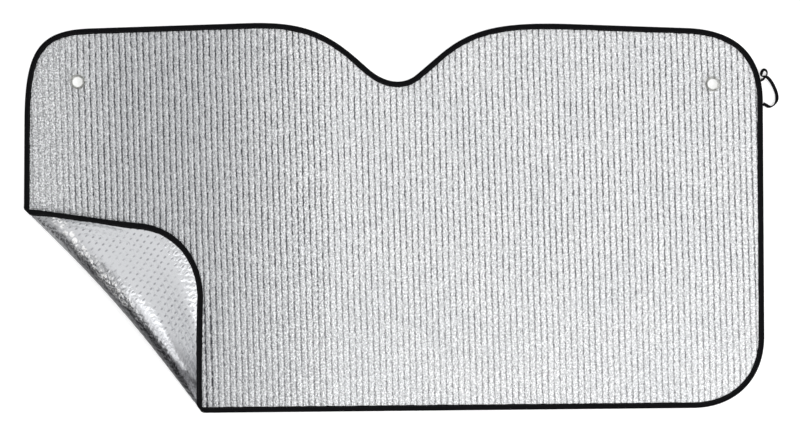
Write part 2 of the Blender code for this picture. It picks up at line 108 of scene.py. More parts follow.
def girth_of(section, closing):
    """How far round a closed section each point lies, and the way from the last to the first."""
    girth = np.concatenate([[0], np.cumsum(np.hypot(*np.diff(section, axis=0).T))])
    return np.append(girth, girth[-1] + closing)

# %% [markdown]
# ## The plan of the sheet
#
# The sheet is drawn unfolded: a long low shape with a notch for the mirror. Each corner is
# one cubic curve between two points on its edges. The same few numbers drew the solids, so
# the pieces made here meet them with no fitting.

# %% The plan
BOTTOM_LENGTH, TOP_LENGTH, SIDE_HEIGHT, BOTTOM_RISE = 1.300, 1.292, 0.673, 0.013
NOTCH_CENTRE, NOTCH_RUN_LEFT, NOTCH_RUN_RIGHT = 0.003, 0.142, 0.147
SHOULDER_TOP, NOTCH_DEPTH = SIDE_HEIGHT + 0.017, 0.126
# each corner: place, how far along the edges before and after its curve reaches, fullness
CORNERS = [
    ((-BOTTOM_LENGTH / 2, 0.0), 0.125, 0.125, 0.60),
    ((-TOP_LENGTH / 2, SIDE_HEIGHT), 0.159, 0.115, 0.79),
    ((NOTCH_CENTRE - NOTCH_RUN_LEFT, SHOULDER_TOP), 0.118, 0.104, 0.77),
    ((NOTCH_CENTRE, SHOULDER_TOP - NOTCH_DEPTH), 0.064, 0.050, 0.62),
    ((NOTCH_CENTRE + NOTCH_RUN_RIGHT, SHOULDER_TOP), 0.093, 0.160, 0.77),
    ((TOP_LENGTH / 2, SIDE_HEIGHT), 0.133, 0.124, 0.66),
    ((BOTTOM_LENGTH / 2, BOTTOM_RISE), 0.125, 0.125, 0.60),
]

def edge_line(step):
    """Even points round the edge of the unfolded sheet, clockwise, and the way in from each."""
    places = [np.array(c[0]) for c in CORNERS]
    line = []
    for i, (_, before, after, full) in enumerate(CORNERS):
        here, last, following = places[i], places[i - 1], places[(i + 1) % len(places)]
        start = here + (last - here) / np.linalg.norm(last - here) * before
        end = here + (following - here) / np.linalg.norm(following - here) * after
        for t in np.linspace(0, 1, 60):
            bend = [start, start + (here - start) * full, end + (here - end) * full, end]
            weights = [(1 - t) ** 3, 3 * t * (1 - t) ** 2, 3 * t * t * (1 - t), t ** 3]
            line.append(sum(w * b for w, b in zip(weights, bend)))
    line = np.array(line + [line[0]])
    far = np.concatenate([[0], np.cumsum(np.linalg.norm(np.diff(line, axis=0), axis=1))])
    even = np.linspace(0, far[-1], round(far[-1] / step), endpoint=False)
    points = np.stack([np.interp(even, far, line[:, k]) for k in (0, 1)], axis=1)
    heading = np.roll(points, -1, axis=0) - np.roll(points, 1, axis=0)
    heading /= np.linalg.norm(heading, axis=1)[:, None]
    inward = np.stack([heading[:, 1], -heading[:, 0]], axis=1)
    return points, inward, even

rim, _, rim_run = edge_line(0.004)
print("edge of the sheet:", round(rim_run[-1], 3), "m in", len(rim), "points")

# %% [markdown]
# ## The fold
#
# The lower left corner is rolled over on itself. Bending a finished mesh by hand would
# stretch it, so the roll is a formula: it takes a point of the flat sheet, finds how far past
# the fold line it is, and walks that far round the roll and down onto the sheet again. Every
# piece sewn to the sheet goes through the same formula and stays on it.

# %% The fold
FOLD_LEFT_HEIGHT, FOLD_BOTTOM_RUN = 0.360, 0.315
ROLL_RADIUS, ROLL_END_RADIUS = 0.0331, 0.0036
FLAP_SLOPE, LANDING_RATIO, FLAP_REST, FLAP_SKEW = 0.73, 1.5, 0.0048, 0.113
SHEET_MIDDLE = 0.0018

fold_start = np.array((-(BOTTOM_LENGTH + (TOP_LENGTH - BOTTOM_LENGTH)
                         * FOLD_LEFT_HEIGHT / SIDE_HEIGHT) / 2, FOLD_LEFT_HEIGHT))
fold_end = np.array((-BOTTOM_LENGTH / 2 + FOLD_BOTTOM_RUN,
                     BOTTOM_RISE * FOLD_BOTTOM_RUN / BOTTOM_LENGTH))
fold_length = np.linalg.norm(fold_end - fold_start)
along_fold = (fold_end - fold_start) / fold_length
across_fold = np.array((along_fold[1], -along_fold[0]))

def fold_run(x, y):
    """How far along the fold line a point of the flat sheet is, its roll, and how far past."""
    along = (x - fold_start[0]) * along_fold[0] + (y - fold_start[1]) * along_fold[1]
    past = (x - fold_start[0]) * across_fold[0] + (y - fold_start[1]) * across_fold[1]
    swell = np.sin(np.pi * np.clip(along / fold_length, 0, 1))
    radius = ROLL_END_RADIUS + (ROLL_RADIUS - ROLL_END_RADIUS) * swell
    return along, radius, past + np.pi / 2 * radius

def carried(x, y, height):
    """Points of the flat sheet, at a height over its middle, carried round the fold."""
    along, radius, run = fold_run(x, y)
    turn, landing = np.pi + FLAP_SLOPE, LANDING_RATIO * radius
    drop = (radius * (1 + math.cos(FLAP_SLOPE)) - landing * (1 - math.cos(FLAP_SLOPE))
            - FLAP_REST)
    straight = np.maximum(drop, 0) / math.sin(FLAP_SLOPE)
    beyond = run - radius * turn
    rolling = beyond <= 0
    slid = np.clip(beyond, 0, straight)
    curved = np.clip(beyond - straight, 0, landing * FLAP_SLOPE)
    heading = np.where(rolling, run / radius, turn - curved / landing)
    out = np.where(rolling, radius * np.sin(heading),
                   radius * math.sin(turn) + slid * math.cos(turn)
                   + landing * (math.sin(turn) - np.sin(heading))
                   - np.maximum(beyond - straight - landing * FLAP_SLOPE, 0))
    up = np.where(rolling, radius * (1 - np.cos(heading)),
                  radius * (1 - math.cos(turn)) + slid * math.sin(turn)
                  + landing * (np.cos(heading) - math.cos(turn)))
    out = out - np.pi / 2 * radius - height * np.sin(heading)
    up = up + height * np.cos(heading)
    back = along - FLAP_SKEW * run
    fx = fold_start[0] + along_fold[0] * back + across_fold[0] * out
    fy = fold_start[1] + along_fold[1] * back + across_fold[1] * out
    flat = run <= 0
    return np.stack([np.where(flat, x, fx), np.where(flat, y, fy),
                     SHEET_MIDDLE + np.where(flat, height, up)], axis=-1)

# The solids stand on the origin, so the drawn plan is moved to where their tape is
drawn = carried(rim[:, 0], rim[:, 1], np.zeros(len(rim)))
tape_low, tape_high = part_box("edge_binding")
TO_FRAME = np.array((tape_high[0] - drawn[:, 0].max(), tape_low[1] - drawn[:, 1].min(), 0.0))
print("plan to frame:", TO_FRAME.round(5), "roll", round(drawn[:, 2].max(), 4), "m high")

# %% [markdown]
# ## Distance from the edge
#
# The film is pressed flat under the tape and puffs up inside it, so its height depends on
# how far in from the edge a point lies. The nearest piece of the edge gives that distance,
# and the side of it on which the point lies gives the sign.

# %% Distance from the edge
def inset_of(x, y, block=4000):
    """How far inside the sheet's edge each point of the flat sheet is, in metres."""
    start, end = rim, np.roll(rim, -1, axis=0)
    way = end - start
    square = (way ** 2).sum(axis=1)
    result = np.empty(len(x))
    for first in range(0, len(x), block):
        part = slice(first, first + block)
        dx, dy = x[part, None] - start[None, :, 0], y[part, None] - start[None, :, 1]
        t = np.clip((dx * way[:, 0] + dy * way[:, 1]) / square, 0, 1)
        ox, oy = dx - t * way[:, 0], dy - t * way[:, 1]
        gap = ox * ox + oy * oy
        near = gap.argmin(axis=1)
        pick = np.arange(len(near))
        side = way[near, 1] * dx[pick, near] - way[near, 0] * dy[pick, near]
        result[part] = np.sqrt(gap[pick, near]) * np.sign(side)
    return result

def smooth_step(value):
    value = np.clip(value, 0, 1)
    return value * value * (3 - 2 * value)

print("middle of the sheet is", inset_of(np.array([0.4]), np.array([0.34])).round(3), "m in")

# %% [markdown]
# ## Helpers for node trees
#
# Materials and Geometry Nodes are both graphs of small steps. Written out by hand each sum
# would take six lines, so two helpers add one Math or Map Range step and join it up. The
# same step works in both kinds of tree.

# %% Node helpers
def feed(tree, socket, value):
    """Joins a socket to another step's result, or writes a constant on it."""
    if isinstance(value, bpy.types.NodeSocket):
        tree.links.new(value, socket)
    elif value is not None:
        socket.default_value = value

def step(tree, kind, outcome=0, options=None, **inputs):
    """One node, with its options and its inputs given by name."""
    node = tree.nodes.new(kind)
    for name, value in (options or {}).items():
        setattr(node, name, value)
    for name, value in inputs.items():
        feed(tree, node.inputs[name.replace("_", " ")], value)
    return node.outputs[outcome]

def sum_of(tree, operation, *values):
    """One Math node."""
    node = tree.nodes.new("ShaderNodeMath")
    node.operation = operation
    for socket, value in zip(node.inputs, values):
        feed(tree, socket, value)
    return node.outputs[0]

def maths(tree):
    """Math steps for one tree, so that a sum names only its operation and its values."""
    return lambda operation, *values: sum_of(tree, operation, *values)

def product(tree, first, *others):
    """All the values multiplied together."""
    for value in others:
        first = sum_of(tree, "MULTIPLY", first, value)
    return first

def ramp(tree, value, low, high, to_low=0.0, to_high=1.0):
    """Smooth passage from one number to another while the value goes from low to high."""
    node = tree.nodes.new("ShaderNodeMapRange")
    node.interpolation_type = "SMOOTHSTEP"
    for socket, item in zip(node.inputs, (value, low, high, to_low, to_high)):
        feed(tree, socket, item)
    return node.outputs[0]

def split(tree, vector):
    """The three numbers of a place."""
    parts = tree.nodes.new("ShaderNodeSeparateXYZ")
    tree.links.new(vector, parts.inputs[0])
    return parts.outputs

def bubble_distance(tree, across, along, rib_pitch, bubble_pitch):
    """Distance to the nearest bubble, where whole numbers are bubble centres and every
    other column is half a bubble lower."""
    m = maths(tree)
    a, b = m("PINGPONG", across, 1.0), m("PINGPONG", along, 0.5)
    def length(first, second):
        wide = m("POWER", m("MULTIPLY", first, rib_pitch), 2.0)
        tall = m("POWER", m("MULTIPLY", second, bubble_pitch), 2.0)
        return m("SQRT", m("ADD", wide, tall))
    other = length(m("SUBTRACT", 1.0, a), m("SUBTRACT", 0.5, b))
    return m("MINIMUM", length(a, b), other), a, b

print("node helpers ready")

# %% [markdown]
# ## The bubbled skin, grown by Geometry Nodes
#
# Each skin of the film is a sheet of bubbles in columns, gathered into fine ribs. That is a
# rule, not a shape to model by hand: a fine grid goes in, and Set Position lifts each point
# by where it lies between its bubbles. The rib and bubble sizes are named inputs, so the
# front and the back of the film share one tree. The grid's place between bubbles is stored
# as a UV map, and the finish reads its creases from that.

# %% The skin's tree
RIB_PITCH, BUBBLE_PITCH, RIB_LEAN = 0.0105, 0.0136, 0.028
SKIN_INPUTS = {"Rib Pitch": RIB_PITCH, "Bubble Pitch": BUBBLE_PITCH, "Lean": RIB_LEAN,
               "Groove Height": 0.0019, "Crest Height": 0.0022, "Bubble Height": 0.00006,
               "Crease Height": 0.0003, "Wander": 0.0012, "Groove Pull": 0.07}
SKIN_COUNTS = {"Columns": 128, "Rows": 53, "Cuts": 4, "Seed": 7}

def skin_tree():
    tree = bpy.data.node_groups.new("bubbled_skin", "GeometryNodeTree")
    tree.interface.new_socket("Skin", in_out="OUTPUT", socket_type="NodeSocketGeometry")
    for name in SKIN_INPUTS:
        tree.interface.new_socket(name, in_out="INPUT", socket_type="NodeSocketFloat")
    for name in SKIN_COUNTS:
        tree.interface.new_socket(name, in_out="INPUT", socket_type="NodeSocketInt")
    tree.interface.new_socket("Finish", in_out="INPUT", socket_type="NodeSocketMaterial")
    given = tree.nodes.new("NodeGroupInput").outputs
    m = maths(tree)
    grid = step(tree, "GeometryNodeMeshGrid",
                Size_X=m("MULTIPLY", given["Columns"], given["Rib Pitch"]),
                Size_Y=m("MULTIPLY", given["Rows"], given["Bubble Pitch"]),
                Vertices_X=m("MULTIPLY_ADD", given["Columns"], given["Cuts"], 1.0),
                Vertices_Y=m("MULTIPLY_ADD", given["Rows"], given["Cuts"], 1.0))
    x, y, _ = split(tree, step(tree, "GeometryNodeInputPosition"))
    # grooves are sharper than crests, so the cuts beside a groove are pulled towards it
    turns = m("DIVIDE", x, given["Rib Pitch"])
    pull = m("MULTIPLY", m("SINE", m("MULTIPLY", turns, 2 * math.pi)), given["Groove Pull"])
    across = m("SUBTRACT", turns, pull)
    along = m("DIVIDE", y, given["Bubble Pitch"])
    centred = m("SUBTRACT", across, 0.5)
    distance, _, _ = bubble_distance(tree, centred, along,
                                     given["Rib Pitch"], given["Bubble Pitch"])
    reach = m("DIVIDE", distance, m("MULTIPLY", given["Bubble Pitch"], 0.55))
    dome = m("SQRT", m("MAXIMUM", m("SUBTRACT", 1.0, m("POWER", reach, 2.0)), 0.0))
    rib = m("POWER", m("ABSOLUTE", m("SINE", m("MULTIPLY", across, math.pi))), 0.45)

    def drift(stretch_x, stretch_y, detail, shift):
        spot = step(tree, "ShaderNodeCombineXYZ", X=m("MULTIPLY", x, stretch_x),
                    Y=m("MULTIPLY", y, stretch_y),
                    Z=m("ADD", m("MULTIPLY", given["Seed"], 3.7), shift))
        wave = step(tree, "ShaderNodeTexNoise", Vector=spot, Scale=1.0, Detail=detail)
        return m("MULTIPLY", m("SUBTRACT", wave, 0.5), 2.0)

    uneven = m("MULTIPLY_ADD", drift(60.0, 11.0, 2.0, 0.0), 0.55, 1.0)
    height = m("MULTIPLY_ADD", m("SUBTRACT", given["Crest Height"], given["Groove Height"]),
               m("MULTIPLY", rib, uneven), given["Groove Height"])
    height = m("MULTIPLY_ADD", dome, given["Bubble Height"], height)
    height = m("MULTIPLY_ADD", drift(190.0, 60.0, 3.0, 9.0), given["Crease Height"], height)
    wander = m("MULTIPLY", drift(9.0, 14.0, 1.0, 21.0), given["Wander"])
    new_x = m("ADD", m("MULTIPLY_ADD", across, given["Rib Pitch"], wander),
              m("MULTIPLY", m("MULTIPLY", y, given["Lean"]), -1.0))
    # the place is stored before the points move, because it is worked out from where they are
    stored = tree.nodes.new("GeometryNodeStoreNamedAttribute")
    stored.data_type, stored.domain = "FLOAT2", "CORNER"
    feed(tree, stored.inputs["Geometry"], grid)
    feed(tree, stored.inputs["Name"], "place")
    feed(tree, stored.inputs["Value"], step(tree, "ShaderNodeCombineXYZ", X=centred, Y=along))
    moved = step(tree, "GeometryNodeSetPosition", Geometry=stored.outputs[0],
                 Position=step(tree, "ShaderNodeCombineXYZ", X=new_x, Y=y, Z=height))
    real = step(tree, "GeometryNodeRealizeInstances", Geometry=moved)
    done = step(tree, "GeometryNodeSetMaterial", Geometry=real, Material=given["Finish"])
    leave = tree.nodes.new("NodeGroupOutput")
    tree.links.new(done, leave.inputs[0])
    return tree

def grown_on(host, name, tree, settings):
    """Runs a Geometry Nodes tree on an object, with the inputs given by name, and keeps the
    result as a plain mesh in place of that object."""
    modifier = host.modifiers.new("nodes", "NODES")
    modifier.node_group = tree
    for item in tree.interface.items_tree:
        if item.item_type == "SOCKET" and item.in_out == "INPUT" and item.name in settings:
            modifier[item.identifier] = settings[item.name]
    seen = host.evaluated_get(bpy.context.evaluated_depsgraph_get())
    mesh = bpy.data.meshes.new_from_object(seen)
    mesh.name = name
    bpy.data.objects.remove(host)
    piece = bpy.data.objects.new(name, mesh)
    bpy.context.scene.collection.objects.link(piece)
    return piece

def grown(name, tree, settings):
    """The same for a tree that makes its own geometry."""
    host = bpy.data.objects.new(name + "_host", bpy.data.meshes.new(name + "_host"))
    bpy.context.scene.collection.objects.link(host)
    return grown_on(host, name, tree, settings)

bubbled_skin = skin_tree()
print("skin tree:", len(bubbled_skin.nodes), "nodes")

# %% [markdown]
# ## Silver film
#
# The film is plastic with a very thin metal coat: bright, but softly blurred by its own fine
# wrinkles. A metallic Principled shader gives the coat. The finish reads the stored place
# between the bubbles: the groove between two columns of bubbles swings a little with them, is
# painted dark as shade, and pinches to a painted dark bead where three bubbles meet. Noise
# breaks both up and adds dark specks, and a painted highlight runs along the shoulder before
# each groove. The left part of the front is painted darker as shade. On the back each bubble
# has a slanted dent, painted dark as shade. Round the roll the back is painted darker as
# shade, with a dark ragged band along its outside and painted highlights on the bubbles above
# it. Marks that belong to one part of the sheet are put there by their place on the object.

# %% Silver film
def start_material(name):
    finish = bpy.data.materials.new(name)
    finish.use_nodes = True
    tree = finish.node_tree
    return finish, tree, tree.nodes["Principled BSDF"]

def mixed(tree, share, first, second):
    """A colour between two others."""
    node = tree.nodes.new("ShaderNodeMix")
    node.data_type = "RGBA"
    feed(tree, node.inputs["Factor"], share)
    feed(tree, node.inputs[6], first)
    feed(tree, node.inputs[7], second)
    return node.outputs[2]

def noise_at(tree, where, scale, detail=2.0, roughness=0.5):
    return step(tree, "ShaderNodeTexNoise", Vector=where, Scale=scale, Detail=detail,
                Roughness=roughness)

def bumped(tree, shader, height, distance, strength=1.0):
    feed(tree, shader.inputs["Normal"],
         step(tree, "ShaderNodeBump", Height=height, Distance=distance, Strength=strength))

def own_map(tree):
    """The numbers of the piece's own place map. The third is always 0."""
    return split(tree, step(tree, "ShaderNodeUVMap", options={"uv_map": "place"}))

def object_place(tree):
    return step(tree, "ShaderNodeTexCoord", outcome="Object")

# how much of a metal the coat is
COAT = 0.92
# from where to where on the laid sheet each change of the front's finish takes place, in x
NOTCH_CREASE, LEFT_MARGIN, MARGIN_SPECKS = (-0.125, -0.108), (-0.62, -0.53), (-0.61, -0.54)
BESIDE_FLAP, PAINTED_SHADE_STARTS, PAINTED_SHADE_ENDS = (-0.318, -0.296), (-0.62, -0.45), (-0.38, -0.10)
# and in y
LOWER_PART, FLAP_TIP = (-0.30, 0.02), (-0.16, -0.10)

def silver_front():
    finish, tree, shader = start_material("silver_front")
    m = maths(tree)
    across, along, _ = own_map(tree)
    where = object_place(tree)
    x, y, _ = split(tree, where)
    distance, a, b = bubble_distance(tree, across, along, RIB_PITCH, BUBBLE_PITCH)
    loose = noise_at(tree, where, 45.0, 3.0)
    fine = noise_at(tree, where, 430.0, 3.0, 0.65)
    broken = noise_at(tree, where, 120.0, 2.0, 0.6)
    # how deep the grooves are and how strong their painted shade is: most in the upper left,
    # up to a soft crease beside the notch, and least along the bottom and the left edge
    crease = m("MULTIPLY_ADD", m("SUBTRACT", loose, 0.5), 0.02, x)
    left = ramp(tree, crease, *NOTCH_CREASE, 1.0, 0.0)
    from_side = ramp(tree, x, *LEFT_MARGIN, 0.35, 1.0)
    groove_depth_and_shade = product(tree, m("MULTIPLY_ADD", left, 0.10, 0.90),
                    ramp(tree, y, *LOWER_PART, 0.66, 1.0), from_side)
    # the folded corner pulls deep creases into the film beside it: deeper grooves, with wider,
    # darker painted shade
    pulled = product(tree, ramp(tree, x, *BESIDE_FLAP, 1.0, 0.0),
                     ramp(tree, y, *FLAP_TIP, 1.0, 0.0))
    groove_depth_and_shade = m("MAXIMUM", groove_depth_and_shade, pulled)
    # the groove, painted dark as shade: its middle is at a = 0.5 and swings a little with the
    # bubbles beside it
    swing = m("MULTIPLY_ADD", b, -0.10, 0.025)
    off = m("ABSOLUTE", m("SUBTRACT", m("SUBTRACT", a, 0.5), swing))
    off = m("MULTIPLY_ADD", m("SUBTRACT", fine, 0.5), 0.18, off)
    groove = product(tree, ramp(tree, off, 0.02, m("MULTIPLY_ADD", pulled, 0.16, 0.17), 1.0, 0.0),
                     ramp(tree, broken, 0.36, 0.60, 0.12, 1.0))
    valley = ramp(tree, off, 0.0, 0.20, 1.0, 0.0)
    # painted shade: a dark bead in the groove where three bubbles meet
    bead = product(tree, ramp(tree, distance, 0.0058, 0.0070),
                   ramp(tree, off, 0.06, 0.22, 1.0, 0.0))
    dark = m("MULTIPLY", m("MAXIMUM", groove, bead), groove_depth_and_shade)
    tone = mixed(tree, ramp(tree, noise_at(tree, where, 9.0, 2.0), 0.3, 0.7),
                 (0.89, 0.90, 0.915, 1), (0.93, 0.935, 0.945, 1))
    # painted shade: the front is darker towards the left, and specked all over
    painted_left_shade = product(tree, ramp(tree, x, *PAINTED_SHADE_STARTS, 0.25, 1.0),
                   ramp(tree, x, *PAINTED_SHADE_ENDS, 1.0, 0.0))
    tone = mixed(tree, painted_left_shade, tone, (0.60, 0.61, 0.625, 1))
    speck = ramp(tree, noise_at(tree, where, 290.0, 2.0, 0.7), 0.36, 0.61)
    # the specks are random, but their extra share left of the crease and along the left margin is
    # painted shade
    beside = ramp(tree, x, *MARGIN_SPECKS, 0.12, 0.0)
    speck = m("MULTIPLY", speck, m("ADD", m("MULTIPLY_ADD", left, 0.18, 0.50), beside))
    tone = mixed(tree, speck, tone, (0.25, 0.255, 0.265, 1))
    # painted highlight: in the left half, away from the left edge, the shoulder before each
    # groove is painted bright
    column = m("WRAP", across, 1.0, 0.0)
    painted_shoulder_highlight = product(tree, ramp(tree, column, 0.07, 0.20),
                     ramp(tree, column, 0.28, 0.37, 1.0, 0.0), left, from_side,
                     ramp(tree, broken, 0.36, 0.62, 0.52, 0.12))
    tone = mixed(tree, painted_shoulder_highlight, tone, (0.96, 0.97, 0.98, 1))
    # painted shade in the grooves and at the beads, mixed in as near black
    tone = mixed(tree, dark, tone, (0.05, 0.05, 0.06, 1))
    feed(tree, shader.inputs["Base Color"], tone)
    shader.inputs["Metallic"].default_value = COAT
    feed(tree, shader.inputs["Roughness"], ramp(tree, fine, 0.3, 0.7, 0.24, 0.36))
    crinkle = step(tree, "ShaderNodeTexVoronoi", Vector=where, Scale=340.0)
    height = m("MULTIPLY_ADD", fine, 1.25, m("MULTIPLY", crinkle, 0.90))
    height = m("MULTIPLY_ADD", valley, m("MULTIPLY", groove_depth_and_shade, -0.85), height)
    bumped(tree, shader, height, 0.0009)
    return finish

def slanted_dent(tree, across, along, turn, half_length, half_width):
    """How near each point is to a short slanted dent on its bubble: 0 in its middle, 1 at
    its rim. Bubbles in every other column are half a pitch lower, so two grids are asked."""
    m = maths(tree)
    c, s = math.cos(turn), math.sin(turn)
    def from_grid(shift_across, shift_along):
        u = m("MULTIPLY", m("WRAP", m("ADD", across, shift_across), 1.0, -1.0), RIB_PITCH)
        v = m("MULTIPLY", m("WRAP", m("ADD", along, shift_along), 0.5, -0.5), BUBBLE_PITCH)
        lengthwise = m("ADD", m("MULTIPLY", u, c), m("MULTIPLY", v, s))
        sideways = m("SUBTRACT", m("MULTIPLY", v, c), m("MULTIPLY", u, s))
        return m("SQRT", m("ADD", m("POWER", m("DIVIDE", lengthwise, half_length), 2.0),
                           m("POWER", m("DIVIDE", sideways, half_width), 2.0)))
    return m("MINIMUM", from_grid(0.0, 0.0), from_grid(1.0, 0.5))

# where the line of the fold meets y = 0, and its slant
FOLD_X, FOLD_OUT, FOLD_DOWN = -0.6298, 0.749, 0.6626
# slant, half length and half width of a dent, and how far a bubble's cushion reaches
DENT_TURN, DENT_HALF_LENGTH, DENT_HALF_WIDTH = math.radians(47), 0.0033, 0.0016
CUSHION_REACH = 0.0058

def silver_back():
    finish, tree, shader = start_material("silver_back")
    m = maths(tree)
    across, along, _ = own_map(tree)
    where = object_place(tree)
    x, y, _ = split(tree, where)
    distance, _, _ = bubble_distance(tree, across, along, RIB_PITCH, BUBBLE_PITCH)
    fine = noise_at(tree, where, 380.0, 3.0, 0.6)
    patch = noise_at(tree, where, 16.0, 2.0)
    dent = slanted_dent(tree, across, along, DENT_TURN, DENT_HALF_LENGTH, DENT_HALF_WIDTH)
    dent = product(tree, ramp(tree, dent, 0.5, 1.4, 1.0, 0.0),
                   ramp(tree, patch, 0.36, 0.58, 0.25, 1.0))
    tone = mixed(tree, ramp(tree, noise_at(tree, where, 7.0, 2.0), 0.3, 0.7),
                 (0.65, 0.66, 0.68, 1), (0.69, 0.70, 0.72, 1))
    # painted shade: each dent is darkened
    tone = mixed(tree, m("MULTIPLY", dent, 0.60), tone, (0.15, 0.15, 0.17, 1))
    # round the roll the film is bent: how far a point lies past the line of the fold, and
    # how far it lies along it
    from_fold = m("ADD", x, -FOLD_X)
    past = m("MULTIPLY_ADD", from_fold, FOLD_OUT, m("MULTIPLY", y, FOLD_DOWN))
    down = m("MULTIPLY_ADD", from_fold, FOLD_DOWN, m("MULTIPLY", y, -FOLD_OUT))
    bent = ramp(tree, past, 0.028, 0.044, 1.0, 0.0)
    cushion = m("SUBTRACT", 1.0, m("POWER", m("DIVIDE", distance, CUSHION_REACH), 2.0))
    cushion = m("MAXIMUM", cushion, 0.0)
    crinkle = step(tree, "ShaderNodeTexVoronoi", Vector=where, Scale=190.0)
    # painted shade: the bent film is darker, most towards the lower end of the roll
    second_tone_share = product(tree, ramp(tree, past, 0.036, 0.056, 1.0, 0.0),
                   ramp(tree, down, 0.18, 0.30, 0.30, 0.90))
    tone = mixed(tree, second_tone_share, tone, (0.40, 0.405, 0.42, 1))
    # painted highlight: bubbles on the roll are painted bright near its upper end
    torn = m("SUBTRACT", noise_at(tree, where, 55.0, 3.0, 0.6), 0.5)
    ragged = m("MULTIPLY_ADD", torn, 0.018, past)
    painted_bubble_highlight = product(tree, ramp(tree, cushion, 0.02, 0.30),
                     ramp(tree, down, 0.19, 0.26, 1.0, 0.0),
                     ramp(tree, ragged, 0.020, 0.025), ramp(tree, ragged, 0.036, 0.043, 1.0, 0.0),
                     ramp(tree, noise_at(tree, where, 90.0, 2.0), 0.40, 0.54, 0.15, 1.0))
    tone = mixed(tree, painted_bubble_highlight, tone, (0.98, 0.98, 0.98, 1))
    # painted shade: a dark band along the outside of the roll, with a ragged upper edge
    painted_roll_shade = product(tree, ramp(tree, ragged, 0.022, 0.031, 0.98, 0.0),
                        ramp(tree, down, 0.03, 0.14, 0.40, 1.0),
                        ramp(tree, down, 0.38, 0.45, 1.0, 0.55),
                        ramp(tree, fine, 0.30, 0.62, 1.0, 0.86))
    tone = mixed(tree, painted_roll_shade, tone, (0.055, 0.055, 0.06, 1))
    feed(tree, shader.inputs["Base Color"], tone)
    shader.inputs["Metallic"].default_value = COAT
    feed(tree, shader.inputs["Roughness"], ramp(tree, fine, 0.3, 0.7, 0.15, 0.24))
    # each bubble is a low cushion, and the skin over it is creased, most where it is bent
    height = m("MULTIPLY_ADD", fine, 0.30, m("MULTIPLY", crinkle, 0.35))
    height = m("MULTIPLY", height, m("MULTIPLY_ADD", bent, 2.2, 1.0))
    height = m("MULTIPLY_ADD", cushion, m("MULTIPLY_ADD", bent, 0.45, 0.35), height)
    height = m("MULTIPLY_ADD", dent, -0.4, height)
    bumped(tree, shader, height, 0.0008)
    return finish

SILVER_FRONT, SILVER_BACK = silver_front(), silver_back()
print("film finishes:", SILVER_FRONT.name, SILVER_BACK.name)

# %% [markdown]
# ## The two skins of the film
#
# The tree grows each skin flat and larger than the sheet. Numpy then does what a cutter does
# with the real film: it trims the skin just inside the edge, presses it flat where the tape
# holds it, lifts it over the heads of the cups, and carries the corner round the fold.

# %% Trimming and laying the skins
FILM_INSET, TAPE_WIDTH, PUFF_WIDTH, EDGE_HALF = 0.001, 0.010, 0.007, 0.0008
CUP_LEFT_INSET, CUP_LEFT_DROP, CUP_RIGHT_INSET, CUP_RIGHT_DROP = 0.0940, 0.0910, 0.0890, 0.0945
CUP_PLACES = [np.array((-TOP_LENGTH / 2 + CUP_LEFT_INSET, SIDE_HEIGHT - CUP_LEFT_DROP)),
              np.array((TOP_LENGTH / 2 - CUP_RIGHT_INSET, SIDE_HEIGHT - CUP_RIGHT_DROP))]
LIFT_HEIGHT, LIFT_FLAT_RADIUS, LIFT_RADIUS = 0.0016, 0.009, 0.030
# under a cup's dish the ribs keep this share of their height, up to this far out
PRESSED_SHARE, PRESSED_RADIUS, FREE_RADIUS = 0.55, 0.008, 0.020
# the tree grows its grid round the origin, and the plan's bottom edge is at y = 0
SHEET_SHIFT_Y = 0.345

def cup_distance(x, y):
    return np.minimum.reduce([np.hypot(x - c[0], y - c[1]) for c in CUP_PLACES])

def cup_lift(x, y):
    share = (LIFT_RADIUS - cup_distance(x, y)) / (LIFT_RADIUS - LIFT_FLAT_RADIUS)
    return LIFT_HEIGHT * smooth_step(share)

def laid_skin(name, finish, side, settings):
    """Grows one skin, trims it to the sheet, presses its edge and folds its corner."""
    piece = grown(name, bubbled_skin, {**SKIN_INPUTS, **SKIN_COUNTS, "Finish": finish, **settings})
    mesh = piece.data
    flat = np.empty(len(mesh.vertices) * 3)
    mesh.vertices.foreach_get("co", flat)
    x, y, height = flat.reshape(-1, 3).T
    y = y + SHEET_SHIFT_Y
    inset = inset_of(x, y)
    puff = smooth_step((inset - TAPE_WIDTH) / PUFF_WIDTH)
    free = (cup_distance(x, y) - PRESSED_RADIUS) / (FREE_RADIUS - PRESSED_RADIUS)
    puff = puff * (PRESSED_SHARE + (1 - PRESSED_SHARE) * smooth_step(free))
    height = side * EDGE_HALF + (height - side * EDGE_HALF) * puff + cup_lift(x, y)
    places = carried(x, y, height) + TO_FRAME
    mesh.vertices.foreach_set("co", places.ravel())
    edit = bmesh.new()
    edit.from_mesh(mesh)
    outside = [v for v, deep in zip(edit.verts, inset) if deep < FILM_INSET]
    bmesh.ops.delete(edit, geom=outside, context="VERTS")
    if side < 0:
        bmesh.ops.reverse_faces(edit, faces=edit.faces)
    edit.to_mesh(mesh)
    edit.free()
    mesh.shade_smooth()
    print(name, len(mesh.polygons) * 2, "triangles")
    return piece

front_film = laid_skin("front_film", SILVER_FRONT, 1, {})
back_film = laid_skin("back_film", SILVER_BACK, -1, {
    "Cuts": 3, "Groove Height": -0.0015, "Crest Height": -0.0017, "Bubble Height": -0.0002,
    "Crease Height": 0.0004, "Groove Pull": 0.0})

# %% [markdown]
# ## The edge binding
#
# The tape is woven from black yarn, folded round the edge and sewn down. It is a sweep: a
# folded section is set at every step round the edge and carried round the fold with the film.
# Its inner lines wander a little, because the puffed film pushes them.

# %% Woven tape
# the colour of the yarn, and how many times brighter it is where it is worn
YARN, WORN_BRIGHTER = (0.0028, 0.0028, 0.0033), 2.2

